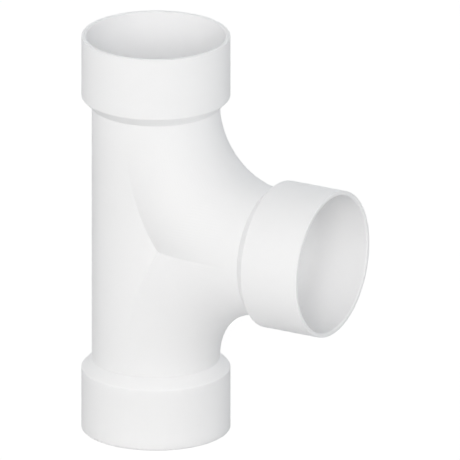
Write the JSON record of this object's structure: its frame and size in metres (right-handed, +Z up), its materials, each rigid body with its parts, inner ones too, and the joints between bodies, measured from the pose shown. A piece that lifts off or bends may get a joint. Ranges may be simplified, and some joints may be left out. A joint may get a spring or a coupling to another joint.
{
  "type": "two-way cleanout tee",
  "caption": "Moulded white PVC drain fitting: a straight run with a pipe socket at each end, and a side branch that sweeps into the run both upwards and downwards.",
  "frame": {"origin": "centre of the lower socket's mouth, on the axis of the run", "axes": "+Z up along the run, from the lower socket to the upper one; +X along the branch, away from the run"},
  "size_m": [0.2141, 0.1148, 0.3194],
  "materials": {
    "white_pvc": "satin"
  },
  "bodies": {
    "root": {"cleanout_tee": "white_pvc"}
  },
  "joints": []
}
